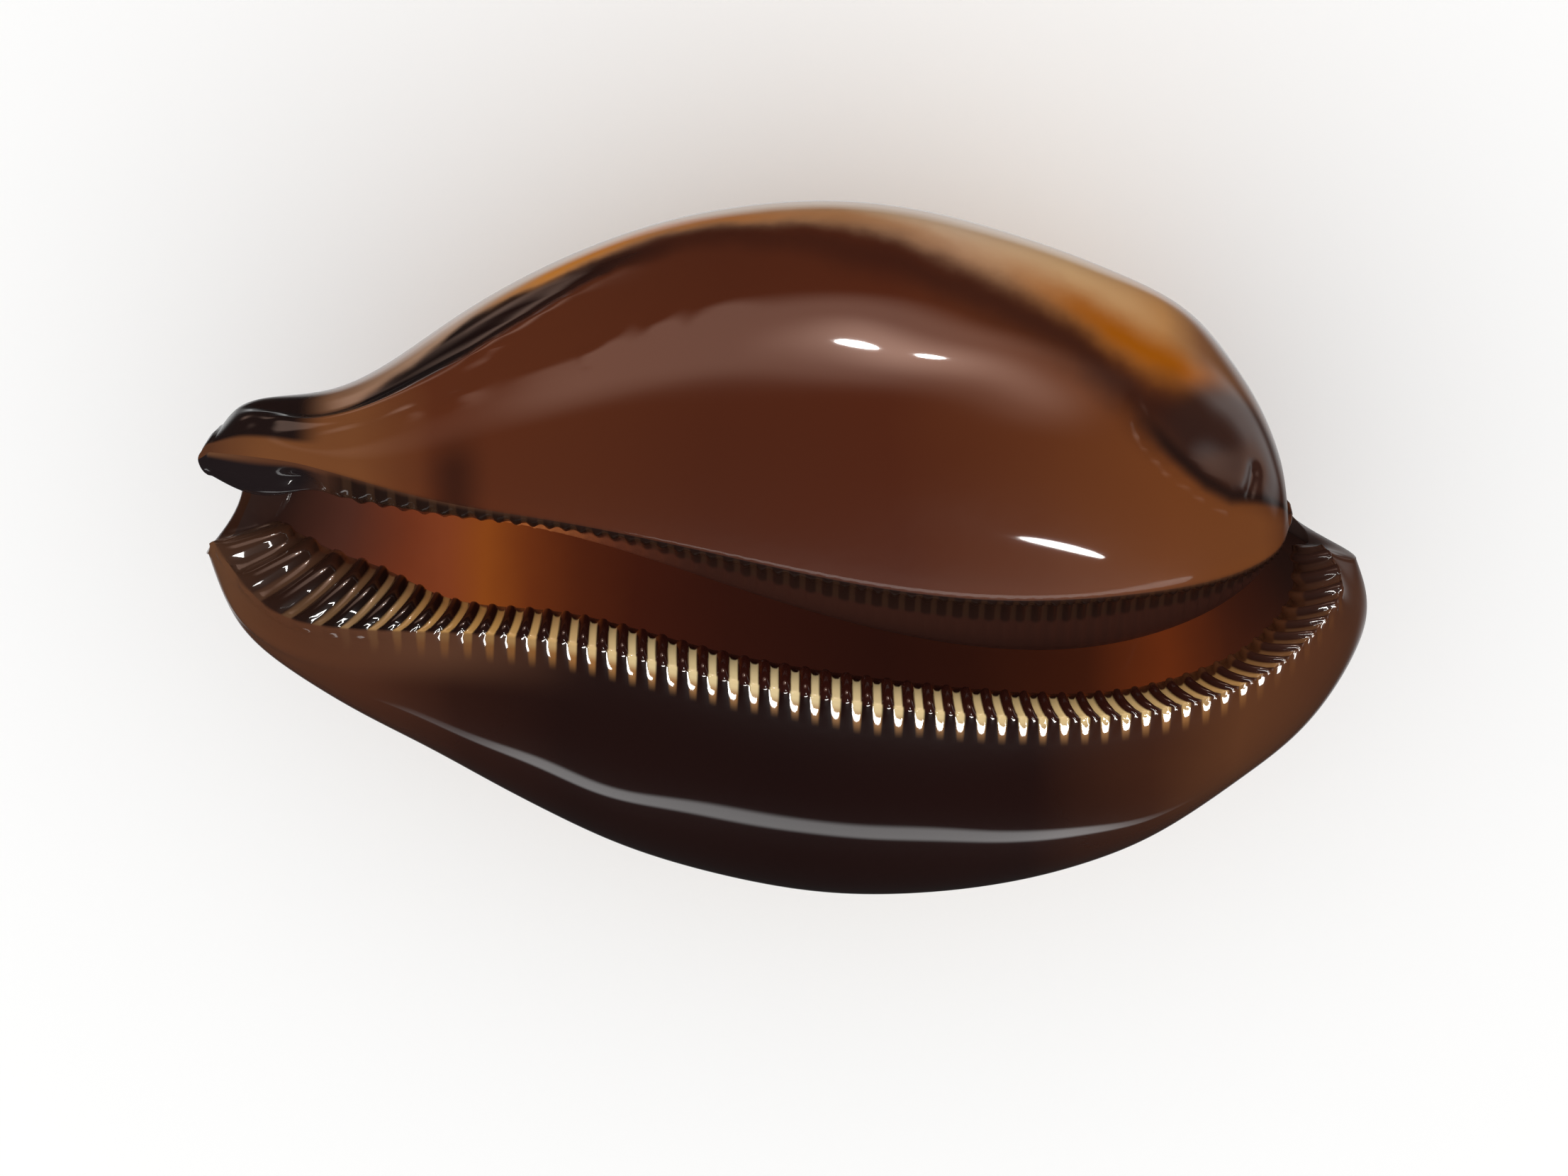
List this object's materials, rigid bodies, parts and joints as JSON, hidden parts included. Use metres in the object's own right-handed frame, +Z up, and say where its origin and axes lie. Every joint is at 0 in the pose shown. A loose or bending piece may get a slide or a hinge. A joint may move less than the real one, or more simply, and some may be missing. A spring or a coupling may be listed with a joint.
{
  "type": "cowrie shell",
  "caption": "Large glossy brown cowrie shell lying on its back, its long curved mouth upwards with fine teeth along both lips and an open canal at each end.",
  "frame": {"origin": "on the surface that the shell rests on, at the middle of its box seen from above", "axes": "+X along the shell from the front canal to the spire end, +Y across it to the columellar side, +Z up out of the mouth"},
  "size_m": [0.0766, 0.047, 0.0375],
  "materials": {
    "shell": "naturally glossy shell: dark chocolate brown margins, base and ends, lighter fawn back, cream and near-black teeth"
  },
  "bodies": {
    "root": {"shell": "shell"}
  },
  "joints": []
}
